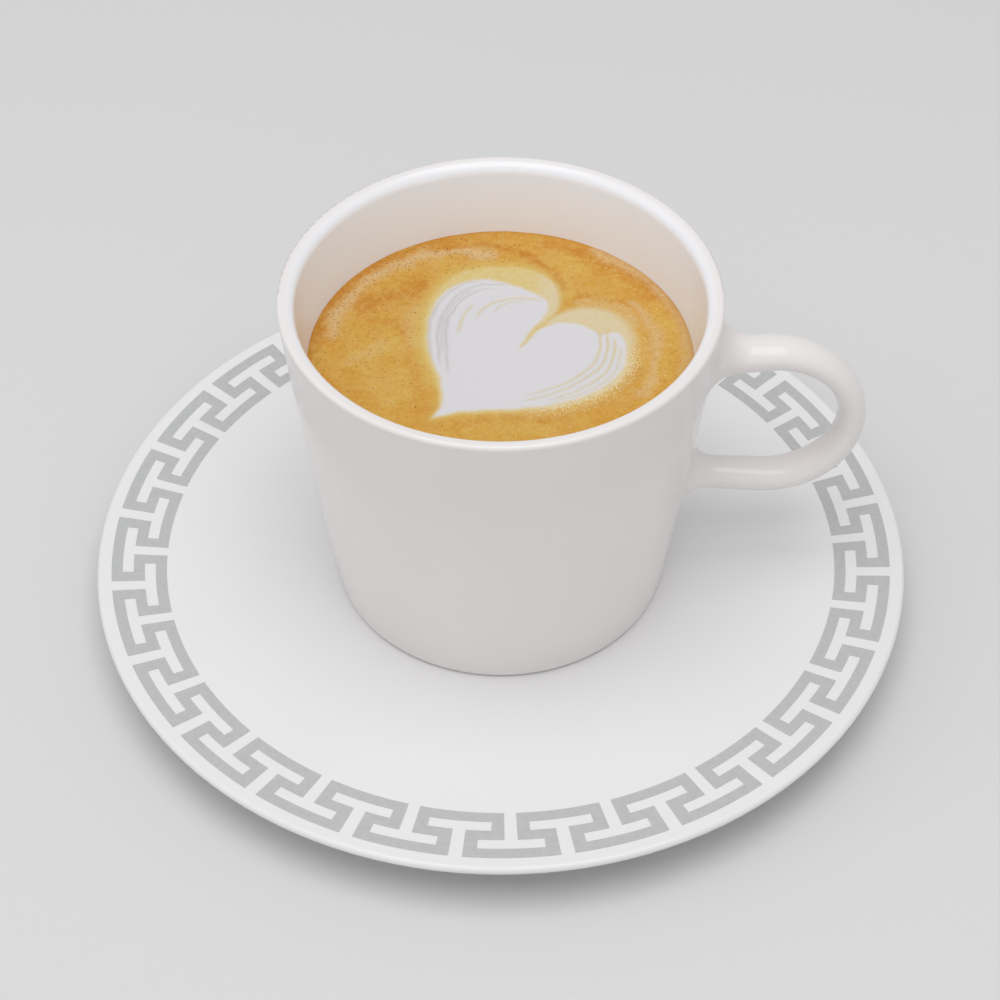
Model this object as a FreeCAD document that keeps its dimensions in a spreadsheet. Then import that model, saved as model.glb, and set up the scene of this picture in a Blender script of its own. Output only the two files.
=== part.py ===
import FreeCAD, Part
import math
import os
import Sketcher

# A latte in a tapered porcelain cup with an ear handle, standing on its coupe saucer.
# Origin: the centre of the saucer's foot ring, on the surface it stands on. +Z is up and the
# handle points along +X. All sizes are in millimetres.

doc = FreeCAD.newDocument("latte")
sheet = doc.addObject("Spreadsheet::Sheet", "Sizes")

drivingSizes = [
    # the saucer
    ("saucerRadius", 85.2),     # axis to the outermost point of the lip
    ("saucerLipRound", 0.95),   # radius of the fully rounded lip
    ("dishCurve", 693.0),       # radius of the shallow hollow of the upper side
    ("wellRadius", 34.2),       # flat ground in the middle that the cup stands on
    ("wellHeight", 8.0),        # that ground above the table
    ("wellThickness", 4.6),     # porcelain under the ground
    ("standRadius", 41.0),      # outside of the saucer's foot ring
    ("standWidth", 3.2),        # width of the ring
    ("standDrop", 3.9),         # height of the ring below the saucer's underside
    ("underCurve", 620.0),      # radius of the underside outside the ring
    ("standRound", 0.8),        # rounding of the ring's two lower edges
    ("standBlend", 1.6),        # hollow where the ring meets the underside
    # the cup's body
    ("mouthRadius", 43.0),      # axis to the outermost point of the rim
    ("cupHeight", 73.42),       # foot to the top of the rim
    ("wallThickness", 3.4),     # across the rim, from its outermost point to the inside
    ("lipRound", 0.8),          # outer part of the rim's round; the inner part takes the rest
    ("wallCurve", 1600.0),      # the outside's taper is very slightly full, with this radius
    ("innerCurve", 6000.0),     # the inside's taper is nearly straight, with this radius
    ("restRadius", 33.0),       # outer edge of the ring that the cup stands on
    ("footRound", 1.5),         # rounding of the lower corner
    ("footWidth", 3.6),         # width of the ring that the cup stands on
    ("footRecess", 1.5),        # depth of the recess inside that ring
    ("floorThickness", 5.0),    # inner floor above the ground
    ("floorRadius", 23.1),      # flat middle of the inner floor
    ("floorRound", 9.0),        # rounding between the inner floor and the wall
    # the handle
    ("handleReach", 53.8),      # axis of the cup to the centre of the bend
    ("handleHeight", 41.35),    # centre of the bend above the cup's foot
    ("bendRadius", 16.8),       # middle line of the bend
    ("upperTilt", 4.0),         # upper arm, degrees that it falls towards the wall
    ("lowerTilt", 3.5),         # lower arm, degrees that it rises towards the wall
    ("rootThickness", 8.2),     # of the bar at its upper root, seen from the side
    ("barThickness", 6.4),      # and from the bend on
    ("upperSpread", 1.4),       # how much wider than thick the bar is at its upper root
    ("bendSpread", 2.3),        # where the bend starts
    ("bowSpread", 1.4),         # where the bend ends
    ("lowerSpread", 0.1),       # and at its lower root
    ("upperBlend", 7.5),        # hollow between the upper root and the wall
    ("lowerBlend", 6.0),        # hollow between the lower root and the wall
    # the drink
    ("drinkDrop", 15.85),       # top of the rim down to the drink's surface
]

for row, (alias, value) in enumerate(drivingSizes, start=1):
    sheet.set("A%d" % row, alias)
    sheet.set("B%d" % row, str(value))
    sheet.setAlias("B%d" % row, alias)
doc.recompute()


def size(alias):
    return float(sheet.get(alias))


def originPart(body, role):
    for feature in body.Origin.OriginFeatures:
        if feature.Role == role:
            return feature
    raise RuntimeError("no origin part " + role)


def newSketch(body, name, planeRole):
    sketch = body.newObject("Sketcher::SketchObject", name)
    sketch.AttachmentSupport = [(originPart(body, planeRole), "")]
    sketch.MapMode = "FlatFace"
    return sketch


def point(across, up):
    return FreeCAD.Vector(across, up, 0)


def onRay(centre, radius, through):
    # the point at that radius from centre, on the ray from centre through another point
    away = (through - centre).normalize()
    return centre + away * radius


def addLine(sketch, start, end):
    return sketch.addGeometry(Part.LineSegment(start, end), False)


def addArc(sketch, centre, start, end, side):
    # the arc about centre from start to end that passes the side that is given
    radius = (start - centre).Length
    middle = onRay(centre, radius, side)
    return sketch.addGeometry(Part.Arc(start, middle, end), False)


def joinEnds(sketch, first, firstEnd, second, secondEnd, smooth):
    kind = "Tangent" if smooth else "Coincident"
    sketch.addConstraint(Sketcher.Constraint(kind, first, firstEnd, second, secondEnd))


def endNear(sketch, edge, place):
    # 1 for the start of an edge and 2 for its end, whichever lies at that place
    toStart = sketch.getPoint(edge, 1).distanceToPoint(place)
    toEnd = sketch.getPoint(edge, 2).distanceToPoint(place)
    return 1 if toStart < toEnd else 2


def closeOutline(sketch, edges, corners, smoothCorners):
    # edge k runs from corner k to corner k + 1, and the last one runs back to corner 0
    for number, corner in enumerate(corners):
        before = edges[number - 1]
        after = edges[number]
        joinEnds(sketch, before, endNear(sketch, before, corner),
                 after, endNear(sketch, after, corner), number in smoothCorners)


def bindAcross(sketch, edge, end, expression):
    value = sketch.getPoint(edge, end).x
    number = sketch.addConstraint(Sketcher.Constraint("DistanceX", -1, 1, edge, end, value))
    sketch.setExpression("Constraints[%d]" % number, expression)


def bindUp(sketch, edge, end, expression):
    value = sketch.getPoint(edge, end).y
    number = sketch.addConstraint(Sketcher.Constraint("DistanceY", -1, 1, edge, end, value))
    sketch.setExpression("Constraints[%d]" % number, expression)


def bindRadius(sketch, edge, expression):
    value = sketch.Geometry[edge].Radius
    number = sketch.addConstraint(Sketcher.Constraint("Radius", edge, value))
    sketch.setExpression("Constraints[%d]" % number, expression)


def bindLength(sketch, edge, expression):
    value = sketch.Geometry[edge].length()
    number = sketch.addConstraint(Sketcher.Constraint("Distance", edge, value))
    sketch.setExpression("Constraints[%d]" % number, expression)


def bindTilt(sketch, edge, expression):
    # the angle between the level axis and an edge, from the edge's start
    way = sketch.getPoint(edge, 2) - sketch.getPoint(edge, 1)
    value = math.atan2(way.y, way.x)
    number = sketch.addConstraint(Sketcher.Constraint("Angle", -1, 1, edge, 1, value))
    sketch.setExpression("Constraints[%d]" % number, expression)


def keepLevel(sketch, edges):
    for edge in edges:
        sketch.addConstraint(Sketcher.Constraint("Horizontal", edge))


def keepUpright(sketch, edges):
    for edge in edges:
        sketch.addConstraint(Sketcher.Constraint("Vertical", edge))


def putOnAxis(sketch, edge, end):
    sketch.addConstraint(Sketcher.Constraint("PointOnObject", edge, end, -2))


def revolve(body, sketch, name):
    turn = body.newObject("PartDesign::Revolution", name)
    turn.Profile = sketch
    turn.ReferenceAxis = (sketch, ["V_Axis"])
    turn.Angle = 360.0
    body.Tip = turn
    doc.recompute()
    return turn


def circleEdges(shape, radius, height):
    # names of the level circles about the axis with that radius, at that height
    found = []
    for number, edge in enumerate(shape.Edges, start=1):
        if not isinstance(edge.Curve, Part.Circle):
            continue
        sameRadius = abs(edge.Curve.Radius - radius) < 0.01
        sameHeight = abs(edge.Curve.Center.z - height) < 0.01
        if sameRadius and sameHeight:
            found.append("Edge%d" % number)
    if not found:
        raise RuntimeError("no circle of radius %.2f at height %.2f" % (radius, height))
    return found


def addFillet(body, feature, edgeNames, alias, name):
    fillet = body.newObject("PartDesign::Fillet", name)
    fillet.Base = (feature, edgeNames)
    fillet.Radius = size(alias)
    fillet.setExpression("Radius", "Sizes." + alias)
    body.Tip = fillet
    doc.recompute()
    return fillet


def bigCircleCentre(firstCentre, firstReach, secondCentre, secondReach, leftOfWay):
    # where circles about two centres cross, on the left or the right of the way between them
    way = secondCentre - firstCentre
    gap = way.Length
    along = (firstReach ** 2 - secondReach ** 2 + gap ** 2) / (2 * gap)
    aside = math.sqrt(firstReach ** 2 - along ** 2)
    forward = way * (1 / gap)
    left = point(-forward.y, forward.x)
    turn = 1 if leftOfWay else -1
    return firstCentre + forward * along + left * (aside * turn)


# The saucer: a shallow round-bottomed hollow with a flat ground in the middle, a fully rounded
# lip and a foot ring below.

def makeSaucer():
    body = doc.addObject("PartDesign::Body", "SaucerBody")
    body.Label = "saucer"
    sketch = newSketch(body, "SaucerOutline", "YZ_Plane")

    lip = size("saucerLipRound")
    wellEdge = point(size("wellRadius"), size("wellHeight"))
    dishRise = math.sqrt(size("dishCurve") ** 2 - size("wellRadius") ** 2)
    dishCentre = point(0, size("wellHeight") + dishRise)
    lipAcross = size("saucerRadius") - lip
    lipDrop = math.sqrt((size("dishCurve") + lip) ** 2 - lipAcross ** 2)
    lipCentre = point(lipAcross, dishCentre.y - lipDrop)
    dishEnd = onRay(lipCentre, lip, dishCentre)

    ceiling = size("wellHeight") - size("wellThickness")
    standTop = point(size("standRadius"), size("standDrop"))
    underCentre = bigCircleCentre(standTop, size("underCurve"),
                                  lipCentre, size("underCurve") - lip, True)
    underStart = onRay(underCentre, size("underCurve"), lipCentre)
    standInner = size("standRadius") - size("standWidth")

    corners = [
        point(0, size("wellHeight")),
        wellEdge,
        dishEnd,
        underStart,
        standTop,
        point(size("standRadius"), 0),
        point(standInner, 0),
        point(standInner, ceiling),
        point(0, ceiling),
    ]
    ground = addLine(sketch, corners[0], corners[1])
    dish = addArc(sketch, dishCentre, wellEdge, dishEnd, (wellEdge + dishEnd) * 0.5)
    lipEdge = addArc(sketch, lipCentre, dishEnd, underStart, point(size("saucerRadius"), lipCentre.y))
    under = addArc(sketch, underCentre, underStart, standTop, (underStart + standTop) * 0.5)
    standOuter = addLine(sketch, corners[4], corners[5])
    standFoot = addLine(sketch, corners[5], corners[6])
    standInside = addLine(sketch, corners[6], corners[7])
    underside = addLine(sketch, corners[7], corners[8])
    middle = addLine(sketch, corners[8], corners[0])
    edges = [ground, dish, lipEdge, under, standOuter, standFoot, standInside, underside, middle]
    closeOutline(sketch, edges, corners, smoothCorners=(2, 3))

    keepLevel(sketch, [ground, standFoot, underside])
    keepUpright(sketch, [standOuter, standInside, middle])
    putOnAxis(sketch, middle, 1)
    putOnAxis(sketch, dish, 3)
    bindAcross(sketch, ground, 2, "Sizes.wellRadius")
    bindUp(sketch, ground, 1, "Sizes.wellHeight")
    bindRadius(sketch, dish, "Sizes.dishCurve")
    bindRadius(sketch, lipEdge, "Sizes.saucerLipRound")
    bindAcross(sketch, lipEdge, 3, "Sizes.saucerRadius - Sizes.saucerLipRound")
    bindRadius(sketch, under, "Sizes.underCurve")
    bindAcross(sketch, standOuter, 1, "Sizes.standRadius")
    bindUp(sketch, standOuter, 1, "Sizes.standDrop")
    sketch.addConstraint(Sketcher.Constraint("PointOnObject", standFoot, 1, -1))
    bindAcross(sketch, standFoot, 2, "Sizes.standRadius - Sizes.standWidth")
    bindUp(sketch, underside, 1, "Sizes.wellHeight - Sizes.wellThickness")

    turned = revolve(body, sketch, "SaucerTurned")
    rims = circleEdges(turned.Shape, size("standRadius"), 0) + circleEdges(turned.Shape, standInner, 0)
    rounded = addFillet(body, turned, rims, "standRound", "StandRounding")
    hollow = circleEdges(rounded.Shape, size("standRadius"), size("standDrop"))
    hollow += circleEdges(rounded.Shape, standInner, ceiling)
    addFillet(body, rounded, hollow, "standBlend", "StandBlend")
    return body


# The cup: a thin wall with a rim that is rounded more softly inside than outside, a foot ring
# with a shallow recess, and a handle whose bar is an ellipse in section, stout at the upper root
# and slender at the lower one.

def addCupWall(body):
    sketch = newSketch(body, "CupOutline", "YZ_Plane")
    lipRound = size("lipRound")
    brimRound = size("wallThickness") - lipRound
    footRound = size("footRound")
    floorRound = size("floorRound")
    floor = size("floorThickness")

    crest = point(size("mouthRadius") - lipRound, size("cupHeight"))
    lipCentre = point(crest.x, crest.y - lipRound)
    brimCentre = point(crest.x, crest.y - brimRound)
    footCentre = point(size("restRadius"), footRound)
    wallCentre = bigCircleCentre(footCentre, size("wallCurve") - footRound,
                                 lipCentre, size("wallCurve") - lipRound, True)
    innerCurve = size("innerCurve")
    floorCentre = point(size("floorRadius"), floor + floorRound)
    innerCentre = bigCircleCentre(floorCentre, innerCurve - floorRound,
                                  brimCentre, innerCurve + brimRound, True)
    footInner = size("restRadius") - size("footWidth")

    corners = [
        onRay(wallCentre, size("wallCurve"), footCentre),
        onRay(wallCentre, size("wallCurve"), lipCentre),
        crest,
        onRay(innerCentre, innerCurve, brimCentre),
        onRay(innerCentre, innerCurve, floorCentre),
        point(floorCentre.x, floor),
        point(0, floor),
        point(0, size("footRecess")),
        point(footInner, size("footRecess")),
        point(footInner, 0),
        point(size("restRadius"), 0),
    ]
    outer = addArc(sketch, wallCentre, corners[0], corners[1], (corners[0] + corners[1]) * 0.5)
    lip = addArc(sketch, lipCentre, corners[1], corners[2], (corners[1] + corners[2]) * 0.5)
    brim = addArc(sketch, brimCentre, corners[2], corners[3], (corners[2] + corners[3]) * 0.5)
    inner = addArc(sketch, innerCentre, corners[3], corners[4], (corners[3] + corners[4]) * 0.5)
    cove = addArc(sketch, floorCentre, corners[4], corners[5], (corners[4] + corners[5]) * 0.5)
    innerFloor = addLine(sketch, corners[5], corners[6])
    middle = addLine(sketch, corners[6], corners[7])
    recess = addLine(sketch, corners[7], corners[8])
    recessSide = addLine(sketch, corners[8], corners[9])
    rest = addLine(sketch, corners[9], corners[10])
    footEdge = addArc(sketch, footCentre, corners[10], corners[0], (corners[10] + corners[0]) * 0.5)
    edges = [outer, lip, brim, inner, cove, innerFloor, middle, recess, recessSide, rest, footEdge]
    closeOutline(sketch, edges, corners, smoothCorners=(0, 1, 2, 3, 4, 5, 10))

    keepLevel(sketch, [innerFloor, recess, rest])
    keepUpright(sketch, [middle, recessSide])
    putOnAxis(sketch, middle, 1)
    bindAcross(sketch, lip, 3, "Sizes.mouthRadius - Sizes.lipRound")
    bindUp(sketch, lip, 3, "Sizes.cupHeight - Sizes.lipRound")
    bindRadius(sketch, lip, "Sizes.lipRound")
    bindAcross(sketch, brim, 3, "Sizes.mouthRadius - Sizes.lipRound")
    bindRadius(sketch, brim, "Sizes.wallThickness - Sizes.lipRound")
    bindRadius(sketch, outer, "Sizes.wallCurve")
    bindRadius(sketch, inner, "Sizes.innerCurve")
    bindAcross(sketch, cove, 3, "Sizes.floorRadius")
    bindRadius(sketch, cove, "Sizes.floorRound")
    bindUp(sketch, innerFloor, 1, "Sizes.floorThickness")
    bindUp(sketch, recess, 1, "Sizes.footRecess")
    bindAcross(sketch, rest, 1, "Sizes.restRadius - Sizes.footWidth")
    bindAcross(sketch, rest, 2, "Sizes.restRadius")
    sketch.addConstraint(Sketcher.Constraint("PointOnObject", rest, 1, -1))
    bindRadius(sketch, footEdge, "Sizes.footRound")
    return revolve(body, sketch, "CupTurned")


def wallMiddle(height):
    # radius of the middle of the wall at a height above the foot, taken as a straight taper
    low = size("restRadius")
    high = size("mouthRadius") - size("wallThickness") / 2
    return low + (high - low) * height / size("cupHeight")


def middleRadius(height):
    # the same radius as an expression, for a height that is itself an expression
    rise = "(Sizes.mouthRadius - Sizes.wallThickness / 2 - Sizes.restRadius)"
    return "Sizes.restRadius + " + rise + " * " + height + " / Sizes.cupHeight"


def addHandlePath(body):
    # an upper arm, a bend and a lower arm, each tangent to the next, from wall to wall
    sketch = newSketch(body, "HandlePath", "XZ_Plane")
    centre = point(size("handleReach"), size("handleHeight"))
    bend = size("bendRadius")
    upper = math.radians(90 + size("upperTilt"))
    lower = math.radians(-90 - size("lowerTilt"))
    bendTop = centre + point(math.cos(upper), math.sin(upper)) * bend
    bendBottom = centre + point(math.cos(lower), math.sin(lower)) * bend
    upperRun = (bendTop.x - wallMiddle(bendTop.y)) / math.cos(math.radians(size("upperTilt")))
    lowerRun = (bendBottom.x - wallMiddle(bendBottom.y)) / math.cos(math.radians(size("lowerTilt")))
    upperRoot = bendTop + point(math.cos(upper + math.pi / 2), math.sin(upper + math.pi / 2)) * upperRun
    lowerRoot = bendBottom + point(math.cos(lower - math.pi / 2), math.sin(lower - math.pi / 2)) * lowerRun

    upperArm = addLine(sketch, upperRoot, bendTop)
    bow = addArc(sketch, centre, bendTop, bendBottom, centre + point(bend, 0))
    lowerArm = addLine(sketch, bendBottom, lowerRoot)
    joinEnds(sketch, upperArm, 2, bow, endNear(sketch, bow, bendTop), True)
    joinEnds(sketch, bow, endNear(sketch, bow, bendBottom), lowerArm, 1, True)
    bindAcross(sketch, bow, 3, "Sizes.handleReach")
    bindUp(sketch, bow, 3, "Sizes.handleHeight")
    bindRadius(sketch, bow, "Sizes.bendRadius")
    upperHeight = "(Sizes.handleHeight + Sizes.bendRadius * cos(Sizes.upperTilt * 1deg))"
    lowerHeight = "(Sizes.handleHeight - Sizes.bendRadius * cos(Sizes.lowerTilt * 1deg))"
    bindAcross(sketch, upperArm, 1, middleRadius(upperHeight))
    bindAcross(sketch, lowerArm, 2, middleRadius(lowerHeight))
    bindTilt(sketch, upperArm, "Sizes.upperTilt * 1deg")
    bindTilt(sketch, lowerArm, "180deg - Sizes.lowerTilt * 1deg")
    doc.recompute()
    return sketch


def addBarSection(body, path, name, edgeName, place, thicknessAlias, spreadAlias):
    # an ellipse square to the path at one end of an edge, its long axis across the handle
    sketch = body.newObject("Sketcher::SketchObject", name)
    sketch.AttachmentSupport = [(path, edgeName)]
    sketch.MapMode = "NormalToEdge"
    sketch.MapPathParameter = place
    doc.recompute()
    halfThickness = size(thicknessAlias) / 2
    halfWidth = halfThickness + size(spreadAlias) / 2
    # every ellipse starts on the same side of the handle, so the bar isn't twisted
    farSide = sketch.Placement.Rotation.inverted().multVec(FreeCAD.Vector(0, 1, 0))
    longEnd = point(math.copysign(halfWidth, farSide.x), 0)
    ellipse = sketch.addGeometry(Part.Ellipse(longEnd, point(0, halfThickness), point(0, 0)), False)
    sketch.exposeInternalGeometry(ellipse)
    longAxis = ellipse + 1
    shortAxis = ellipse + 2
    sketch.addConstraint(Sketcher.Constraint("Coincident", ellipse, 3, -1, 1))
    keepLevel(sketch, [longAxis])
    bindLength(sketch, longAxis, "Sizes." + thicknessAlias + " + Sizes." + spreadAlias)
    bindLength(sketch, shortAxis, "Sizes." + thicknessAlias)
    return sketch


def addHandle(body):
    path = addHandlePath(body)
    upper = addBarSection(body, path, "UpperSection", "Edge1", 0.0, "rootThickness", "upperSpread")
    middle = addBarSection(body, path, "BendSection", "Edge1", 1.0, "barThickness", "bendSpread")
    after = addBarSection(body, path, "BowSection", "Edge3", 0.0, "barThickness", "bowSpread")
    lower = addBarSection(body, path, "LowerSection", "Edge3", 1.0, "barThickness", "lowerSpread")
    bar = body.newObject("PartDesign::AdditivePipe", "Handle")
    bar.Profile = upper
    bar.Spine = (path, ["Edge1", "Edge2", "Edge3"])
    bar.Sections = [(middle, [""]), (after, [""]), (lower, [""])]
    bar.Transformation = "Multisection"
    body.Tip = bar
    doc.recompute()
    return bar


def rootEdges(shape, above):
    # the closed seam where the handle meets the outside of the wall, above or below its bend
    wall = max(shape.Faces, key=lambda face: face.Area)
    found = []
    for loop in wall.Wires:
        isRoot = loop.BoundBox.XMin > 0
        isAbove = loop.CenterOfMass.z > size("handleHeight")
        if isRoot and isAbove == above:
            found += [edge for edge in loop.Edges]
    names = []
    for number, edge in enumerate(shape.Edges, start=1):
        if any(edge.isSame(other) for other in found):
            names.append("Edge%d" % number)
    if not names:
        raise RuntimeError("a root of the handle doesn't meet the wall")
    return names


def makeCup():
    body = doc.addObject("PartDesign::Body", "CupBody")
    body.Label = "cup"
    body.setExpression(".Placement.Base.z", "Sizes.wellHeight")
    addCupWall(body)
    bar = addHandle(body)
    upperDone = addFillet(body, bar, rootEdges(bar.Shape, True), "upperBlend", "UpperBlend")
    addFillet(body, upperDone, rootEdges(upperDone.Shape, False), "lowerBlend", "LowerBlend")
    return body


# The drink: what is left of a slightly tapered plug, reaching from inside the cup's floor and
# wall up to the drink's surface, once the cup itself is taken out of it.

def makeDrink(cup):
    plug = doc.addObject("Part::Cone", "DrinkPlug")
    low = "((Sizes.footRecess + Sizes.floorThickness) / 2)"
    high = "(Sizes.cupHeight - Sizes.drinkDrop)"
    plug.setExpression("Radius1", middleRadius(low))
    plug.setExpression("Radius2", middleRadius(high))
    plug.setExpression("Height", high + " - " + low)
    plug.setExpression(".Placement.Base.z", "Sizes.wellHeight + " + low)
    drink = doc.addObject("Part::Cut", "Drink")
    drink.Label = "latte"
    drink.Base = plug
    drink.Tool = cup
    doc.recompute()
    return drink


def checkDocument():
    for feature in doc.Objects:
        if "Invalid" in feature.State or "Error" in feature.State:
            raise RuntimeError("failed: " + feature.Label)
        if feature.TypeId == "Sketcher::SketchObject" and not feature.FullyConstrained:
            raise RuntimeError("not fully constrained: " + feature.Label)


saucer = makeSaucer()
cup = makeCup()
drink = makeDrink(cup)
doc.recompute()
checkDocument()

os.makedirs("parts", exist_ok=True)
for part in (saucer, cup, drink):
    shape = part.Shape
    if shape.isNull() or not shape.isValid() or len(shape.Solids) != 1:
        raise RuntimeError("not one sound solid: " + part.Label)
    shape.exportStep(os.path.join("parts", part.Label + ".step"))
    print(part.Label, "%.1f cm3" % (shape.Volume / 1000), shape.BoundBox)
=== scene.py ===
import math
import bmesh
import bpy
import numpy as np
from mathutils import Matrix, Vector
from mathutils.bvhtree import BVHTree


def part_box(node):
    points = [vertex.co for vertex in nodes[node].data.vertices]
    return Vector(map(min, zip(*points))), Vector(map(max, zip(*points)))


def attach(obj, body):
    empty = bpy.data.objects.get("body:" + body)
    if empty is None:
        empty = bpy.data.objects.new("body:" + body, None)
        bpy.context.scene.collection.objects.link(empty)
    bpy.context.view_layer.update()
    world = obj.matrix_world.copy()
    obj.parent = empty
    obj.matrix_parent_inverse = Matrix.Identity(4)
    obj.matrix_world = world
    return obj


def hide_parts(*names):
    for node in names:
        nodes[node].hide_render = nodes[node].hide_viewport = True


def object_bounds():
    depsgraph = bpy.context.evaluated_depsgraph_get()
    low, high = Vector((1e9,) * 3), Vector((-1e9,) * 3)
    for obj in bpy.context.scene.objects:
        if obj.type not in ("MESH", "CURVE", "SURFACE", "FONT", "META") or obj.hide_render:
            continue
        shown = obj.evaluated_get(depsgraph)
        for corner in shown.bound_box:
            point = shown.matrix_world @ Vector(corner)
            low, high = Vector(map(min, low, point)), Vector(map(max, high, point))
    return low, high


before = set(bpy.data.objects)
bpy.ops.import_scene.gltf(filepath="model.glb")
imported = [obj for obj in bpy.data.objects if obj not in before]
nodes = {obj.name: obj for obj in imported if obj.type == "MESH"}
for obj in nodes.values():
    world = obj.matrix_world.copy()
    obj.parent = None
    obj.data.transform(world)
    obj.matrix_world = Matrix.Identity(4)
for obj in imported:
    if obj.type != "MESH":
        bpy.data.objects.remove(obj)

cadLow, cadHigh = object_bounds()
scene = bpy.context.scene
mm = 0.001

# A latte in a glazed porcelain cup on its saucer. The cup and the saucer keep their CAD shapes
# and get a glaze. The printed meander, the drink's surface and its bubbles are made here.


def linearColour(hexCode, alpha=1.0):
    # an sRGB hex value as the linear colour that the shader wants
    channels = [int(hexCode[i:i + 2], 16) / 255 for i in (1, 3, 5)]
    linear = [c / 12.92 if c <= 0.04045 else ((c + 0.055) / 1.055) ** 2.4 for c in channels]
    return (*linear, alpha)


def addNode(tree, kind, sockets=None, **settings):
    # a node with its settings; each socket gets a value, or a link from another node's output
    node = tree.nodes.new(kind)
    for name, value in settings.items():
        setattr(node, name, value)
    for name, value in (sockets or {}).items():
        if isinstance(value, bpy.types.NodeSocket):
            tree.links.new(value, node.inputs[name])
        else:
            node.inputs[name].default_value = value
    return node


def newMaterial(name):
    material = bpy.data.materials.new(name)
    material.use_nodes = True
    material.node_tree.nodes.clear()
    return material, material.node_tree


def finishMaterial(tree, shader):
    addNode(tree, "ShaderNodeOutputMaterial", {"Surface": shader.outputs["BSDF"]})


def layerColours(tree, base, layers):
    # colours laid over the base one after another, each by its own amount
    for amount, colour in layers:
        mix = addNode(tree, "ShaderNodeMix", {0: amount, 6: base, 7: colour}, data_type="RGBA")
        base = mix.outputs[2]
    return base


def scaleOf(sizeInMm):
    # a texture's scale for features of that real size, on Object coordinates in metres
    return 1 / (sizeInMm * mm)


# Porcelain, slip cast and dipped in a clear glaze: a bright, slightly wavy gloss over a milky
# body, with a faint unevenness of tone where the glaze lies thicker.

porcelainValues = {
    "cupColour": "#F0ECEA",
    "cupThick": "#ECE7E5",     # where the glaze has pooled
    "cupInside": "#F7F8FC",    # a cooler white, against the orange light from the drink
    "insideRadius": 42.0,      # mm, where the inside ends at the rim
    "saucerColour": "#F0EFEF",
    "saucerThick": "#ECEBEB",
    "roughness": 0.19,
    "coat": 0.10,
    "specular": 0.34,
    "toneSize": 34.0,          # mm, patches of thicker glaze
    "waveSize": 9.0,           # mm, the slight unevenness of the glaze
    "waveHeight": 0.012,       # mm
}


def insideMask(tree, coordinates, radius):
    # 1 on surfaces that face the vertical axis from nearer than that radius
    flat = addNode(tree, "ShaderNodeVectorMath", {0: coordinates.outputs["Object"], 1: (1, 1, 0)},
                   operation="MULTIPLY")
    reach = addNode(tree, "ShaderNodeVectorMath", {0: flat.outputs["Vector"]}, operation="LENGTH")
    outward = addNode(tree, "ShaderNodeVectorMath", {0: flat.outputs["Vector"]}, operation="NORMALIZE")
    facing = addNode(tree, "ShaderNodeVectorMath",
                     {0: coordinates.outputs["Normal"], 1: outward.outputs["Vector"]},
                     operation="DOT_PRODUCT")
    turned = addNode(tree, "ShaderNodeMapRange",
                     {"Value": facing.outputs["Value"], "From Min": -0.1, "From Max": -0.7,
                      "To Min": 0.0, "To Max": 1.0})
    near = addNode(tree, "ShaderNodeMapRange",
                   {"Value": reach.outputs["Value"], "From Min": radius, "From Max": radius - mm,
                    "To Min": 0.0, "To Max": 1.0})
    both = addNode(tree, "ShaderNodeMath", {0: turned.outputs["Result"], 1: near.outputs["Result"]},
                   operation="MULTIPLY")
    return both.outputs[0]


def glazedPorcelain(name, colour, thick, values, inside=None):
    material, tree = newMaterial(name)
    coordinates = addNode(tree, "ShaderNodeTexCoord")
    place = coordinates.outputs["Object"]
    tone = addNode(tree, "ShaderNodeTexNoise",
                   {"Vector": place, "Scale": scaleOf(values["toneSize"]), "Detail": 2.0})
    wave = addNode(tree, "ShaderNodeTexNoise",
                   {"Vector": place, "Scale": scaleOf(values["waveSize"]), "Detail": 1.0})
    bump = addNode(tree, "ShaderNodeBump", {"Height": wave.outputs["Fac"], "Strength": 0.35,
                                            "Distance": values["waveHeight"] * mm})
    gloss = addNode(tree, "ShaderNodeMapRange",
                    {"Value": tone.outputs["Fac"], "From Min": 0.3, "From Max": 0.7,
                     "To Min": values["roughness"] - 0.02, "To Max": values["roughness"] + 0.03})
    layers = [(tone.outputs["Fac"], linearColour(thick))]
    if inside:
        layers.append((insideMask(tree, coordinates, values["insideRadius"] * mm), linearColour(inside)))
    shader = addNode(tree, "ShaderNodeBsdfPrincipled", {
        "Base Color": layerColours(tree, linearColour(colour), layers),
        "Roughness": gloss.outputs["Result"],
        "IOR": 1.5,
        "Specular IOR Level": values["specular"],
        "Coat Weight": values["coat"],
        "Coat Roughness": 0.06,
        "Normal": bump.outputs["Normal"],
    })
    finishMaterial(tree, shader)
    return material


cupGlaze = glazedPorcelain("glazed porcelain cup", porcelainValues["cupColour"],
                           porcelainValues["cupThick"], porcelainValues,
                           porcelainValues["cupInside"])
saucerGlaze = glazedPorcelain("glazed porcelain saucer", porcelainValues["saucerColour"],
                              porcelainValues["saucerThick"], porcelainValues)


def coatNode(name, material):
    target = nodes[name]
    if not target.material_slots:
        target.data.materials.append(material)
    for slot in target.material_slots:
        slot.material = material


coatNode("cup", cupGlaze)
coatNode("saucer", saucerGlaze)
print("porcelain glazed")


# The meander: a grey transfer printed under the glaze, one fret repeated round the saucer.

meanderValues = {
    "repeats": 24,
    "outerRadius": 82.15,      # mm
    "innerRadius": 70.73,      # mm
    "startAngle": 9.90,        # degrees from +X, where one fret begins
    "lift": 0.08,              # mm above the glaze, so that it shows
    "depth": 0.15,             # mm below it
    "colour": "#C3C4C3",
    "speck": "#BDBEBD",
    "fret": ["1111111.",       # outermost row first, eight steps to a repeat
             "1.....1.",
             "111.111.",
             "..1.1...",
             "111.1111"],
}


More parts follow.
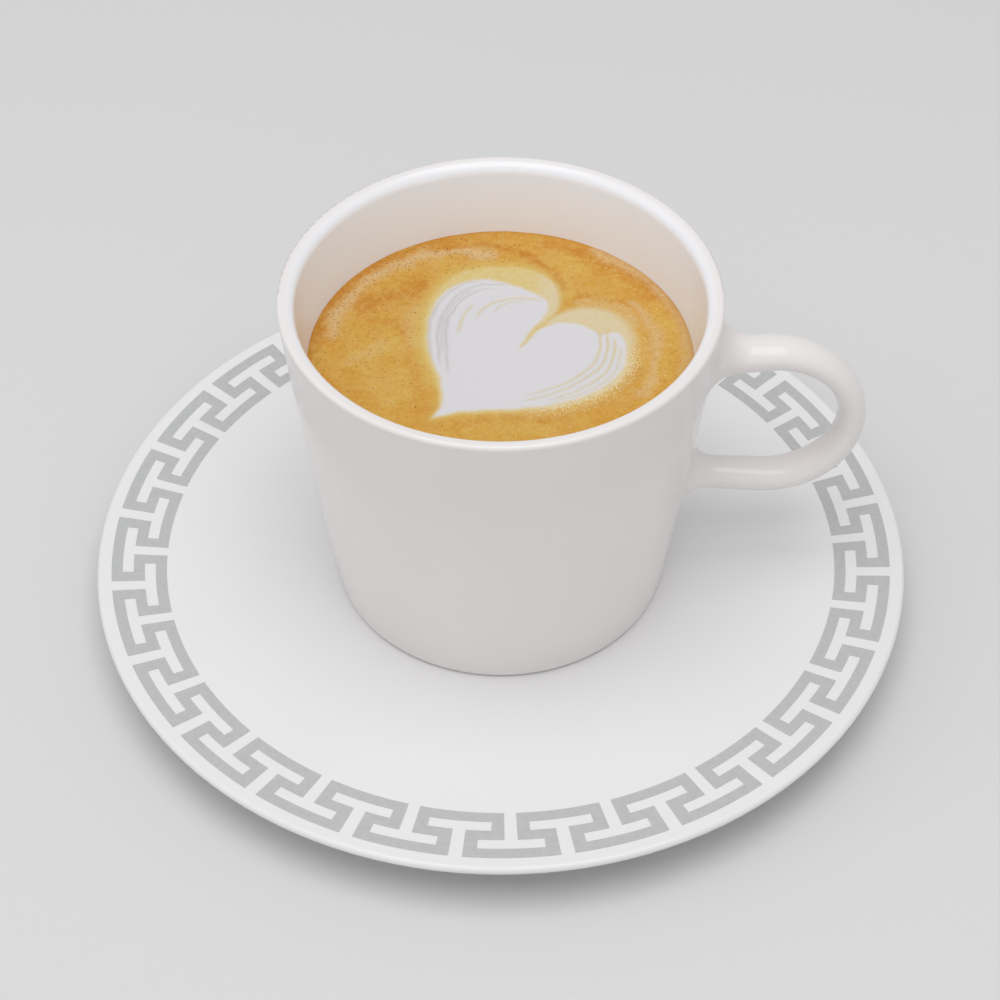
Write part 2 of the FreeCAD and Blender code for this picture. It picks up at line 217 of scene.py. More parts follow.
def dishHeight(tree, radius):
    # the height of the saucer's upper side at a radius, from the CAD mesh
    heights = []
    for step in range(48):
        angle = math.radians(7.5 * step + 1.3)
        start = Vector((radius * math.cos(angle), radius * math.sin(angle), cadHigh.z))
        hit = tree.ray_cast(start, Vector((0, 0, -1)))[0]
        if hit is not None:
            heights.append(hit.z)
    return max(heights)


def fretMesh(values, saucerTree):
    # one repeat of the fret as a thin closed tile, from its first column at the start angle
    rows = values["fret"]
    columns = len(rows[0])
    across, along = 2, 4       # pieces of a cell, across the band and along it
    rowCount = len(rows) * across
    columnCount = columns * along
    band = (values["outerRadius"] - values["innerRadius"]) * mm
    stepAngle = math.radians(360 / values["repeats"]) / columnCount
    radii = [values["outerRadius"] * mm - band * row / rowCount for row in range(rowCount + 1)]
    heights = [dishHeight(saucerTree, radius) for radius in radii]
    filled = {(r, c) for r in range(rowCount) for c in range(columnCount)
              if rows[r // across][c // along] == "1"}
    points = []
    faces = []
    known = {}

    def corner(row, column, top):
        if (row, column, top) not in known:
            angle = math.radians(values["startAngle"]) + stepAngle * column
            height = heights[row] + (values["lift"] if top else -values["depth"]) * mm
            known[row, column, top] = len(points)
            points.append((radii[row] * math.cos(angle), radii[row] * math.sin(angle), height))
        return known[row, column, top]

    for r, c in sorted(filled):
        ring = [(r, c), (r + 1, c), (r + 1, c + 1), (r, c + 1)]
        faces.append([corner(*k, True) for k in reversed(ring)])
        faces.append([corner(*k, False) for k in ring])
        beside = [(r, c - 1), (r + 1, c), (r, c + 1), (r - 1, c)]
        for side in range(4):
            if beside[side] not in filled:
                a = ring[side]
                b = ring[(side + 1) % 4]
                faces.append([corner(*a, True), corner(*b, True), corner(*b, False), corner(*a, False)])
    # the angle runs on, so the tile is turned the right way out at the end
    mesh = bpy.data.meshes.new("fret")
    mesh.from_pydata(points, [], faces)
    faceOut(mesh)
    return mesh


def faceOut(mesh):
    # joins doubled corners and turns every face outwards
    shell = bmesh.new()
    shell.from_mesh(mesh)
    bmesh.ops.remove_doubles(shell, verts=shell.verts, dist=1e-7)
    bmesh.ops.recalc_face_normals(shell, faces=shell.faces)
    shell.to_mesh(mesh)
    shell.free()


def newPiece(name, mesh):
    piece = bpy.data.objects.new(name, mesh)
    scene.collection.objects.link(piece)
    return piece


def repeatTree():
    # turns a tile about +Z as many times as asked, all in one mesh
    tree = bpy.data.node_groups.new("ring of frets", "GeometryNodeTree")
    face = tree.interface
    face.new_socket("Fret", in_out="INPUT", socket_type="NodeSocketGeometry")
    count = face.new_socket("Repeats", in_out="INPUT", socket_type="NodeSocketInt")
    finish = face.new_socket("Material", in_out="INPUT", socket_type="NodeSocketMaterial")
    face.new_socket("Ring", in_out="OUTPUT", socket_type="NodeSocketGeometry")
    start = addNode(tree, "NodeGroupInput")
    line = addNode(tree, "GeometryNodeMeshLine", {"Count": start.outputs["Repeats"], "Offset": (0, 0, 0)})
    index = addNode(tree, "GeometryNodeInputIndex")
    part = addNode(tree, "ShaderNodeMath", {0: index.outputs[0], 1: start.outputs["Repeats"]},
                   operation="DIVIDE")
    angle = addNode(tree, "ShaderNodeMath", {0: part.outputs[0], 1: math.tau}, operation="MULTIPLY")
    turn = addNode(tree, "ShaderNodeCombineXYZ", {"Z": angle.outputs[0]})
    spread = addNode(tree, "GeometryNodeInstanceOnPoints",
                     {"Points": line.outputs["Mesh"], "Instance": start.outputs["Fret"],
                      "Rotation": turn.outputs[0]})
    real = addNode(tree, "GeometryNodeRealizeInstances", {"Geometry": spread.outputs["Instances"]})
    painted = addNode(tree, "GeometryNodeSetMaterial",
                      {"Geometry": real.outputs[0], "Material": start.outputs["Material"]})
    addNode(tree, "NodeGroupOutput", {"Ring": painted.outputs[0]})
    return tree, {"Repeats": count.identifier, "Material": finish.identifier}


def bakeNodes(name, mesh, tree, identifiers, values):
    # runs a Geometry Nodes tree on a mesh and keeps the result as a plain piece
    source = newPiece(name + "Source", mesh)
    modifier = source.modifiers.new("nodes", "NODES")
    modifier.node_group = tree
    for key, value in values.items():
        modifier[identifiers[key]] = value
    bpy.context.view_layer.update()
    graph = bpy.context.evaluated_depsgraph_get()
    result = bpy.data.meshes.new_from_object(source.evaluated_get(graph))
    result.name = name
    bpy.data.objects.remove(source)
    return newPiece(name, result)


def printedTransfer(values):
    # ceramic ink fired under the glaze: as glossy as the rest, with a very fine screen grain
    material, tree = newMaterial("grey underglaze transfer")
    place = addNode(tree, "ShaderNodeTexCoord").outputs["Object"]
    grain = addNode(tree, "ShaderNodeTexNoise", {"Vector": place, "Scale": scaleOf(1.1), "Detail": 3.0})
    amount = addNode(tree, "ShaderNodeMapRange",
                     {"Value": grain.outputs["Fac"], "From Min": 0.35, "From Max": 0.65})
    shader = addNode(tree, "ShaderNodeBsdfPrincipled", {
        "Base Color": layerColours(tree, linearColour(values["colour"]),
                                   [(amount.outputs["Result"], linearColour(values["speck"]))]),
        "Roughness": porcelainValues["roughness"],
        "IOR": 1.5,
        "Coat Weight": porcelainValues["coat"],
        "Coat Roughness": 0.06,
    })
    finishMaterial(tree, shader)
    return material


saucerTree = BVHTree.FromObject(nodes["saucer"], bpy.context.evaluated_depsgraph_get())
ringTree, ringInputs = repeatTree()
meander = bakeNodes("meander", fretMesh(meanderValues, saucerTree), ringTree, ringInputs,
                    {"Repeats": meanderValues["repeats"], "Material": printedTransfer(meanderValues)})
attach(meander, "root")
print("meander printed", len(meander.data.polygons))


# The drink: crema with a poured heart of milk foam. Curves below are in mm from the cup's axis,
# x towards the handle and y away from the drinker.

drinkValues = {
    "cells": 250,              # pieces of the surface each way
    "intoWall": 0.10,          # mm that the surface reaches into the porcelain
    "meniscus": 0.12,          # mm that the drink climbs at the wall
    "meniscusWidth": 0.6,      # mm
    "rimWidth": 1.4,           # mm of darker crema along the wall
    "foamHeight": 0.16,        # mm that the heart stands above the crema
    "foldDepth": 0.24,         # mm
    "ripple": 0.03,            # mm
    "wallLean": 3.9,           # mm that the drink narrows from its surface to the floor's round
    "floorRound": 9.0,         # mm
    "seed": 11,
}

heartLeft = [(-13.2, -18.6), (-11.7, -13.4), (-12.2, -9.2), (-13.5, -4.2), (-14.6, -0.5), (-15.3, 3.6),
             (-15.2, 8.0), (-14.9, 12.2), (-13.6, 16.7), (-11.2, 21.2), (-7.9, 24.6), (-4.0, 26.0),
             (0.0, 26.4), (4.0, 26.0), (7.3, 24.7), (9.9, 22.4), (11.5, 19.1), (11.8, 15.8),
             (11.0, 12.9), (9.6, 10.5), (8.2, 8.4), (7.2, 6.8)]
heartRight = [(7.2, 6.8), (8.3, 8.0), (9.9, 10.1), (12.0, 12.0), (15.2, 13.6),
              (18.5, 13.8), (21.8, 12.7), (24.0, 10.7), (25.6, 8.0), (26.4, 4.6), (26.1, 0.0),
              (25.0, -4.6), (22.4, -8.8), (18.6, -12.0), (14.5, -14.3), (9.2, -15.9), (3.3, -16.6),
              (-2.6, -16.9), (-7.9, -17.4), (-11.2, -18.3), (-13.2, -18.6)]
milkLeft = [(-13.0, -18.4), (-11.2, -13.4), (-11.6, -9.2), (-12.8, -4.2), (-13.8, -0.5), (-14.5, 3.6),
            (-14.4, 8.0), (-14.0, 12.0), (-12.6, 16.3), (-10.2, 19.8), (-7.3, 21.7), (-3.5, 22.5),
            (0.2, 21.8), (3.3, 20.3), (6.6, 18.3), (9.3, 16.2), (9.7, 13.4), (8.4, 10.3),
            (6.3, 6.9), (4.9, 4.2), (4.1, 1.8)]
milkRight = [(4.1, 1.8), (5.6, 4.4), (8.1, 7.4), (11.6, 9.2), (15.4, 8.9), (18.2, 7.2),
             (20.0, 5.9), (22.4, 6.4), (24.2, 5.2), (24.9, 1.6), (24.4, -3.6), (21.8, -8.1),
             (18.1, -11.3), (14.2, -13.5), (9.0, -15.2), (3.2, -16.0), (-2.6, -16.3), (-7.9, -16.8),
             (-11.0, -17.9), (-13.0, -18.4)]

# folds in the foam, a crease with painted shade in warm grey at its bottom, a fold creamy there: width,
# depth, strength at the start and the end
folds = [
    ("crease", 0.24, 0.8, 0.55, 0.50,
     [(-13.0, -4.0), (-13.9, 1.6), (-14.2, 6.6), (-13.6, 11.2), (-12.0, 15.8), (-9.4, 19.6),
      (-6.4, 21.7), (-3.0, 22.3)]),
    ("crease", 0.24, 1.0, 0.60, 0.55,
     [(-11.4, -6.0), (-12.1, 0.0), (-12.5, 5.3), (-12.0, 9.9), (-10.5, 14.5), (-7.9, 18.5),
      (-4.6, 20.6), (0.0, 21.0), (2.4, 20.3)]),
    ("crease", 0.24, 1.0, 0.60, 0.55,
     [(-10.0, -7.5), (-10.4, -2.6), (-10.7, 2.6), (-10.8, 7.9), (-9.6, 12.7), (-7.3, 16.7),
      (-4.0, 19.2), (-0.5, 20.0)]),
    ("crease", 0.20, 0.7, 0.50, 0.45,
     [(-11.3, -1.5), (-11.6, 4.0), (-11.4, 8.8), (-10.1, 13.6), (-7.6, 17.6), (-4.4, 19.9)]),
    ("fold", 0.30, 0.8, 0.60, 0.55, [(-8.5, 5.6), (-8.0, 9.2), (-6.8, 12.5), (-5.3, 15.0)]),
    ("fold", 0.30, 0.8, 0.55, 0.70,
     [(-4.9, 10.2), (-3.6, 13.2), (-1.3, 15.3), (2.4, 16.5), (5.9, 16.6), (8.9, 15.7)]),
    ("fold", 0.26, 0.6, 0.50, 0.35, [(-1.4, 12.3), (0.0, 14.2), (2.6, 15.5), (5.5, 15.7)]),
    ("fold", 0.27, 0.9, 0.90, 0.50,
     [(19.0, 8.0), (19.6, 5.5), (19.7, 2.4), (18.9, -1.3), (17.0, -4.6), (13.2, -8.2), (7.9, -10.9),
      (3.3, -12.5)]),
    ("fold", 0.27, 1.0, 0.90, 0.45,
     [(21.0, 7.0), (21.2, 3.6), (20.9, 0.3), (19.8, -3.3), (17.1, -6.6), (12.5, -10.2), (6.6, -12.9),
      (2.6, -13.8)]),
    ("fold", 0.27, 1.0, 0.85, 0.45,
     [(22.4, 5.6), (22.4, 0.6), (21.2, -4.0), (18.5, -7.9), (13.8, -11.2), (7.9, -13.6)]),
    ("fold", 0.24, 0.5, 0.55, 0.50, [(9.0, 10.4), (7.7, 7.9), (6.2, 5.4), (4.9, 3.2), (3.9, 1.2)]),
    ("fold", 0.25, 0.7, 0.60, 0.30,
     [(23.6, 3.0), (23.4, -1.3), (21.9, -5.9), (18.5, -9.6), (13.2, -12.5), (8.0, -14.4)]),
]

# streaks in the crema: kind, half width, strength at the start and the end, guide
streaks = [
    ("amber", 2.0, 1.00, 0.35,
     [(-38.5, -4.0), (-37.6, 4.0), (-35.2, 12.6), (-30.4, 21.6), (-24.0, 28.6), (-15.0, 34.0),
      (-5.0, 37.0), (6.0, 37.5)]),
    ("amber", 1.1, 0.60, 0.95,
     [(-22.0, 30.0), (-14.0, 32.6), (-8.0, 33.4), (-1.0, 32.9), (5.0, 30.4), (9.0, 26.6), (11.6, 22.0),
      (12.6, 17.5)]),
    ("amber", 2.6, 0.70, 0.55, [(-30.0, 13.0), (-24.0, 16.4), (-19.0, 18.4), (-14.5, 22.0)]),
    ("amber", 1.6, 0.30, 0.35, [(-27.0, 9.5), (-21.0, 9.8), (-18.0, 6.0)]),
    ("amber", 2.0, 0.15, 0.25, [(-19.5, 0.5), (-17.0, -6.0), (-15.5, -12.0), (-14.5, -17.0)]),
    ("amber", 2.6, 0.55, 0.65, [(6.0, 35.0), (15.0, 31.6), (23.0, 26.6), (29.5, 20.6), (33.0, 15.0)]),
    # along the heart's near edge: partly the crema's own darker amber, partly the heart's shadow, painted
    ("amber", 1.5, 0.25, 0.60,
     [(-12.0, -20.2), (-2.0, -18.8), (8.0, -18.0), (15.0, -16.0), (21.0, -12.4), (25.0, -7.6),
      (27.0, -2.0)]),
    ("amber", 1.5, 0.50, 0.40, [(14.0, 16.6), (18.0, 17.2), (23.0, 16.2), (27.0, 13.0)]),
    ("amber", 2.0, 0.45, 0.20, [(-37.0, -6.0), (-33.5, -10.0), (-29.5, -12.5), (-25.0, -16.0)]),
    ("beige", 1.5, 0.75, 1.00,
     [(-34.4, 2.0), (-33.4, 8.6), (-30.8, 15.2), (-27.0, 21.4), (-22.4, 26.2), (-16.4, 29.8),
      (-9.6, 31.2), (-3.6, 30.6), (0.6, 28.8)]),
    ("beige", 1.0, 0.65, 0.80, [(-29.0, 21.5), (-24.0, 25.2), (-17.0, 28.2)]),
    ("beige", 1.6, 1.00, 0.55,
     [(17.0, 33.6), (23.0, 29.6), (29.6, 23.0), (34.4, 15.0), (37.0, 6.0), (37.4, -2.0), (34.8, -8.6)]),
    ("beige", 1.2, 0.65, 0.70,
     [(24.6, 17.0), (28.4, 12.6), (30.4, 6.0), (30.4, -1.0), (29.0, -8.0), (26.0, -13.6)]),
    ("beige", 1.6, 0.35, 0.30, [(-31.0, -3.0), (-26.0, 0.0), (-22.0, 4.0)]),
    ("beige", 1.8, 0.35, 0.35, [(-16.5, 16.0), (-17.5, 10.0), (-17.0, 5.0), (-16.4, 0.6)]),
    ("beige", 1.4, 0.50, 0.50, [(14.0, 15.0), (20.0, 15.2), (25.0, 12.0), (27.8, 7.0)]),
    ("yellow", 5.0, 0.80, 0.60, [(-30.0, -5.0), (-26.5, 0.5), (-23.0, 3.0), (-19.0, 4.0)]),
    ("yellow", 4.5, 0.75, 0.70, [(-25.0, -12.0), (-20.0, -9.0), (-18.0, -4.0)]),
    ("yellow", 2.0, 0.70, 0.70, [(13.0, 30.0), (14.0, 26.0), (13.4, 21.0), (14.0, 16.0)]),
    ("yellow", 2.4, 0.50, 0.50, [(27.5, -9.0), (32.5, -1.0), (33.4, 6.0), (30.6, 15.0)]),
    ("yellow", 2.6, 0.50, 0.50, [(-8.0, -22.0), (2.0, -21.6), (12.0, -21.0)]),
]

print("drink drawn")


def smoothLine(points, pieces=8):
    # a smooth line through the points
    p = np.array(points, float)
    p = np.vstack([2 * p[0] - p[1], p, 2 * p[-1] - p[-2]])
    t = np.linspace(0, 1, pieces, endpoint=False)[:, None]
    runs = []
    for k in range(1, len(p) - 2):
        a, b, c, d = p[k - 1], p[k], p[k + 1], p[k + 2]
        runs.append(0.5 * (2 * b + (c - a) * t + (2 * a - 5 * b + 4 * c - d) * t ** 2
                           + (3 * b - a - 3 * c + d) * t ** 3))
    return np.vstack(runs + [p[-2:-1]])


def nearLine(place, line):
    # distance from each place to the line, and how far along the line that is, from 0 to 1
    best = np.full(len(place), 1e9)
    along = np.zeros(len(place))
    for k in range(len(line) - 1):
        a, b = line[k], line[k + 1]
        way = b - a
        t = np.clip(((place - a) @ way) / (way @ way), 0, 1)
        gap = np.hypot(*(place - a - t[:, None] * way).T)
        closer = gap < best
        best[closer] = gap[closer]
        along[closer] = (k + t[closer]) / (len(line) - 1)
    return best, along


def insideOf(place, outline):
    # signed distance to a closed outline, positive inside
    x, y = place.T
    inside = np.zeros(len(place), bool)
    for a, b in zip(outline, np.roll(outline, -1, axis=0)):
        crosses = (a[1] > y) != (b[1] > y)
        rise = b[1] - a[1] if b[1] != a[1] else 1e-9
        inside ^= crosses & (x < (b[0] - a[0]) * (y - a[1]) / rise + a[0])
    gap = nearLine(place, np.vstack([outline, outline[:1]]))[0]
    return np.where(inside, gap, -gap)


def softStep(value, low, high):
    t = np.clip((value - low) / (high - low), 0, 1)
    return t * t * (3 - 2 * t)


def waves(place, size, seed, count=14):
    # smooth random waves of about that size, between -1 and 1
    chance = np.random.RandomState(seed)
    total = np.zeros(len(place))
    for step in range(count):
        way = chance.normal(size=2)
        way *= chance.uniform(0.6, 1.5) * 2 * math.pi / (size * np.linalg.norm(way))
        total += np.sin(place @ way + chance.uniform(0, 2 * math.pi))
    return total / math.sqrt(count)


def discPoints(cells):
    # a square grid laid evenly over a disc of radius 1
    g = np.linspace(-1, 1, cells + 1)
    a, b = [v.ravel() for v in np.meshgrid(g, g, indexing="ij")]
    wide = np.abs(a) > np.abs(b)
    safeA = np.where(a == 0, 1, a)
    safeB = np.where(b == 0, 1, b)
    radius = np.where(wide, a, b)
    angle = np.where(wide, math.pi / 4 * b / safeA, math.pi / 2 - math.pi / 4 * a / safeB)
    return np.c_[radius * np.cos(angle), radius * np.sin(angle)]


# what the crema's material reads at each place of the surface
maskNames = ("heart", "milk", "glow", "amber", "beige", "yellow", "fold", "crease", "rim", "froth")


def streakMask(place, kind):
    # the streaks of one kind; where two cross, the stronger counts
    total = np.zeros(len(place))
    for name, width, first, last, points in streaks:
        if name == kind:
            gap, along = nearLine(place, smoothLine(points))
            ends = softStep(along, 0, 0.08) * softStep(1 - along, 0, 0.08)
            strength = (first + (last - first) * along) * ends
            total = np.maximum(total, strength * np.exp(-(gap / width) ** 2))
    return total


def foldMasks(place):
    # the tint of both kinds of fold, the crease's grey being painted shade, and their height: a valley with a
    # low ridge on each side
    masks = {name: np.zeros(len(place)) for name in ("fold", "crease", "dip")}
    for name, width, depth, first, last, points in folds:
        gap, along = nearLine(place, smoothLine(points))
        ends = softStep(along, 0, 0.12) * softStep(1 - along, 0, 0.15)
        valley = np.exp(-(gap / width) ** 2) * ends
        ridge = np.exp(-((gap - 1.9 * width) / (1.1 * width)) ** 2) * ends
        masks[name] = np.maximum(masks[name], (first + (last - first) * along) * valley)
        masks["dip"] += depth * (0.35 * ridge - valley)
    return masks


def bubbleMasks(place, heart, masks, seed):
    # open pores at the left and the far side, froth and beads along the heart's near right edge
    x, y = place.T
    leftSide = softStep(-x, -6, 22) * softStep(y, -26, 8)
    farSide = softStep(y, 14, 28) * softStep(-x, -16, 2)
    band = masks["beige"] * softStep(-x, -4, 6) * softStep(y, 2, 12)
    clumps = 0.55 + 0.45 * waves(place, 4, seed)
    pores = 0.06 + 0.55 * leftSide * clumps + 0.7 * farSide * clumps + 2.4 * band
    beads = np.exp(-((heart + 0.1) / 1.6) ** 2) * softStep(x, 2, 16) * softStep(-y, -7, 4)
    beads += 0.04 * softStep(x, 8, 20) * (1 - masks["heart"])
    froth = np.exp(-((heart + 0.3) / 1.5) ** 2) * softStep(x, -2, 12) * softStep(-y, -9, 3)
    clear = 1 - masks["rim"]
    return {"pores": np.clip(pores, 0, 2.4) * (1 - masks["heart"]) * clear,
            "beads": np.clip(beads, 0, 1) * clear,
            "froth": froth}


def drinkMasks(place, radius, values):
    # how much of each colour, fold and bubble lies at each place; x, y and distances are in mm
    seed = values["seed"]
    drift = np.c_[waves(place, 9, seed), waves(place, 9, seed + 1)] * 0.45
    drift += np.c_[waves(place, 2.6, seed + 2), waves(place, 2.6, seed + 3)] * 0.16
    wobble = np.c_[waves(place, 5, seed + 4), waves(place, 5, seed + 5)] * 0.10
    heart = insideOf(place + wobble, np.vstack([smoothLine(heartLeft)[:-1], smoothLine(heartRight)[:-1]]))
    milk = insideOf(place + wobble, np.vstack([smoothLine(milkLeft)[:-1], smoothLine(milkRight)[:-1]]))
    x, y = place.T
    soft = softStep(x, 9, 17) * softStep(y, -9, 2)          # the right lobe has the softest edge
    masks = {"heart": softStep(heart, -0.8 - 0.7 * soft, 0.6 + 0.9 * soft)}
    palerHalo = 0.27 * softStep(x, 5.5, 10.5)               # round the right lobe
    masks["milk"] = np.maximum(softStep(milk, -0.5, 0.7), palerHalo)
    lessNear = 0.35 + 0.65 * softStep(y, -14, -2) * softStep(-x, -14, -9)
    masks["glow"] = 0.85 * softStep(heart, -3.4, 0.0) * lessNear
    for kind in ("amber", "beige", "yellow"):
        masks[kind] = streakMask(place + drift, kind)
    masks.update(foldMasks(place + wobble * 0.8))
    masks["rim"] = softStep(np.hypot(x, y), radius - values["rimWidth"], radius)
    masks.update(bubbleMasks(place, heart, masks, seed + 6))
    return masks


def makeDrink(values):
    low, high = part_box("latte")
    level = high.z / mm
    floorLevel = low.z / mm
    radius = (high.x - low.x) / 2 / mm + values["intoWall"]
    cells = values["cells"]
    place = discPoints(cells) * radius
    masks = drinkMasks(place, radius, values)
    reach = np.hypot(*place.T)
    height = level + values["foamHeight"] * masks["heart"] + values["foldDepth"] * masks["dip"]
    height += values["ripple"] * waves(place, 7, values["seed"] + 8)
    height += values["meniscus"] * np.exp(-(radius - reach) / values["meniscusWidth"])
    points = np.c_[place, height]
    grid = np.arange((cells + 1) ** 2).reshape(cells + 1, cells + 1)
    faces = np.stack([grid[:-1, :-1], grid[1:, :-1], grid[1:, 1:], grid[:-1, 1:]], -1).reshape(-1, 4).tolist()
    # the rest of the drink below the surface: down inside the wall, round the cove and across the floor
    edge = np.concatenate([grid[:-1, 0], grid[-1, :-1], grid[:0:-1, -1], grid[0, :0:-1]])
    lean = values["wallLean"]
    cove = values["floorRound"]
    depth = level - floorLevel - cove
    rings = [(radius - lean * s, level - depth * s) for s in (0.02, 0.25, 0.5, 0.75, 1.0)]
    for turn in (20, 45, 70, 90):
        angle = math.radians(turn)
        rings.append((radius - lean - cove * (1 - math.cos(angle)),
                      floorLevel + cove - cove * math.sin(angle)))
    before = edge
    direction = place[edge] / reach[edge][:, None]
    for ringRadius, ringHeight in rings:
        first = len(points)
        points = np.vstack([points, np.c_[direction * ringRadius, np.full(len(edge), ringHeight)]])
        now = np.arange(first, first + len(edge))
        faces += np.stack([before, now, np.roll(now, -1), np.roll(before, -1)], -1).tolist()
        before = now
    points = np.vstack([points, [[0, 0, rings[-1][1]]]])
    middle = len(points) - 1
    faces += [[int(a), middle, int(b)] for a, b in zip(before, np.roll(before, -1))]
    mesh = bpy.data.meshes.new("drink")
    mesh.from_pydata((points * mm).tolist(), [], faces)
    surface = (cells + 1) ** 2
    for name in maskNames + ("pores", "beads"):
        layer = mesh.attributes.new(name, "FLOAT", "POINT")
        full = np.zeros(len(points), np.float32)
        full[:surface] = masks[name]
        if name == "rim":
            full[surface:] = 1.0
        layer.data.foreach_set("value", full)
    faceOut(mesh)
    mesh.shade_smooth()
    return mesh


coffeeColours = {
    "golden": "#D29F43",
    "amber": "#C4812A",
    "beige": "#D7B581",
    "yellow": "#D5AE54",
    "glow": "#D6B765",
    "halo": "#DAC68C",
    "milk": "#D9D7DA",
    "fold": "#D8C58C",
    # the crease's warm grey is painted shade at the bottom of each crease in the foam
    "crease": "#C6BDB8",
    "edge": "#A96A20",
    "froth": "#E3D6AE",
}

# unevenness of the surface: size in mm, detail, roughness, the noise's range and what it becomes
cremaTextures = {
    "cloud": (9.0, 4.0, 0.6, 0.3, 0.7, -0.22, 0.22),
    "grain": (1.1, 3.0, 0.65, 0.3, 0.7, -0.32, 0.32),
    "blotch": (5.0, 3.0, 0.5, 0.42, 0.72, -0.1, 0.7),
    "fine": (0.5, 2.0, 0.5, 0.54, 0.70, 0.0, 0.34),
    "halo": (1.1, 3.0, 0.65, 0.38, 0.66, 0.0, 0.5),
    "froth": (0.36, 1.0, 0.5, 0.50, 0.62, 0.0, 0.85),
    "torn": (0.5, 1.0, 0.5, 0.54, 0.66, 0.0, 0.55),
}
bubbleSize = 0.55              # mm, the crema's skin of fine bubbles, drawn larger than life to show
wallAmberAmount = 0.35               # how far the crema along the wall turns to amber


def coffeeSurface(colours):
    # espresso crema with steamed milk poured through it: a satin skin of very fine bubbles
    material, tree = newMaterial("crema and milk foam")
    place = addNode(tree, "ShaderNodeTexCoord").outputs["Object"]
    mask = {name: addNode(tree, "ShaderNodeAttribute", attribute_name=name).outputs["Fac"]
            for name in maskNames}
    texture = {}
    for name, (sizeInMm, detail, roughness, low, high, start, end) in cremaTextures.items():
        noise = addNode(tree, "ShaderNodeTexNoise", {"Vector": place, "Scale": scaleOf(sizeInMm),
                                                     "Detail": detail, "Roughness": roughness})
        texture[name] = addNode(tree, "ShaderNodeMapRange",
                                {"Value": noise.outputs["Fac"], "From Min": low, "From Max": high,
                                 "To Min": start, "To Max": end}).outputs["Result"]
    # unevenness of the streaks, froth in pale and torn spots, and the darker amber along the wall
    sums = {}
    for name, first, operation, second in (
            ("spread", texture["cloud"], "ADD", texture["grain"]),
            ("foamy", mask["froth"], "MULTIPLY", texture["froth"]),
            ("torn", mask["froth"], "MULTIPLY", texture["torn"]),
            ("amberAtWall", mask["rim"], "MULTIPLY", wallAmberAmount)):
        sums[name] = addNode(tree, "ShaderNodeMath", {0: first, 1: second}, operation=operation).outputs[0]
    # beige gathers where amber is thin
    against = addNode(tree, "ShaderNodeMath", {0: sums["spread"], 1: -0.6}, operation="MULTIPLY").outputs[0]
    amount = {}
    for name, uneven in (("yellow", texture["blotch"]), ("amber", sums["spread"]), ("beige", against)):
        amount[name] = addNode(tree, "ShaderNodeMath", {0: mask[name], 1: uneven}, operation="ADD",
                               use_clamp=True).outputs[0]
    tint = {name: linearColour(colour) for name, colour in colours.items()}
    crema = layerColours(tree, tint["golden"], [(amount["yellow"], tint["yellow"]),
                                                (amount["amber"], tint["amber"]),
                                                (amount["beige"], tint["beige"]),
                                                (texture["fine"], tint["edge"]),
                                                (mask["glow"], tint["glow"])])
    halo = layerColours(tree, tint["halo"], [(texture["halo"], tint["glow"])])
    # the crease's grey laid over the foam is painted shade in its valleys
    foam = layerColours(tree, halo, [(mask[name], tint[name]) for name in ("milk", "fold", "crease")])
    surface = layerColours(tree, crema, [(mask["heart"], foam),
                                         (sums["foamy"], tint["froth"]),
                                         (sums["torn"], tint["yellow"]),
                                         (sums["amberAtWall"], tint["amber"])])
    cells = addNode(tree, "ShaderNodeTexVoronoi", {"Vector": place, "Scale": scaleOf(bubbleSize)})
    # the foam is smoother and a little less glossy than the crema
    smooth = addNode(tree, "ShaderNodeMapRange", {"Value": mask["heart"], "To Min": 1.0, "To Max": 0.12})
    dull = addNode(tree, "ShaderNodeMapRange", {"Value": mask["heart"], "To Min": 0.36, "To Max": 0.42})
    skin = addNode(tree, "ShaderNodeMath", {0: cells.outputs["Distance"], 1: smooth.outputs["Result"]},
                   operation="MULTIPLY")
    bump = addNode(tree, "ShaderNodeBump", {"Height": skin.outputs[0], "Strength": 0.30,
                                            "Distance": 0.10 * mm})
    shader = addNode(tree, "ShaderNodeBsdfPrincipled", {
        "Base Color": surface,
        "Roughness": dull.outputs["Result"],
        "IOR": 1.36,
        "Specular IOR Level": 0.45,
        "Normal": bump.outputs["Normal"],
    })
    finishMaterial(tree, shader)
    return material


drink = newPiece("drink", makeDrink(drinkValues))
drink.data.materials.append(coffeeSurface(coffeeColours))
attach(drink, "root")
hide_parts("latte")
print("drink poured", len(drink.data.polygons))


# Bubbles: open pores in the crema and tiny beads of milk foam along the heart's edge.

bubbleValues = {
    "poreDensity": 0.80,       # per square mm where pores are thickest
    "poreRadius": (0.05, 0.14),
    "poreColour": "#875620",
    "beadDensity": 2.4,
    "beadRadius": (0.06, 0.13),
    "beadColour": "#E8D6A4",
    "flatness": 0.35,          # height over width
    "seed": 5,
}


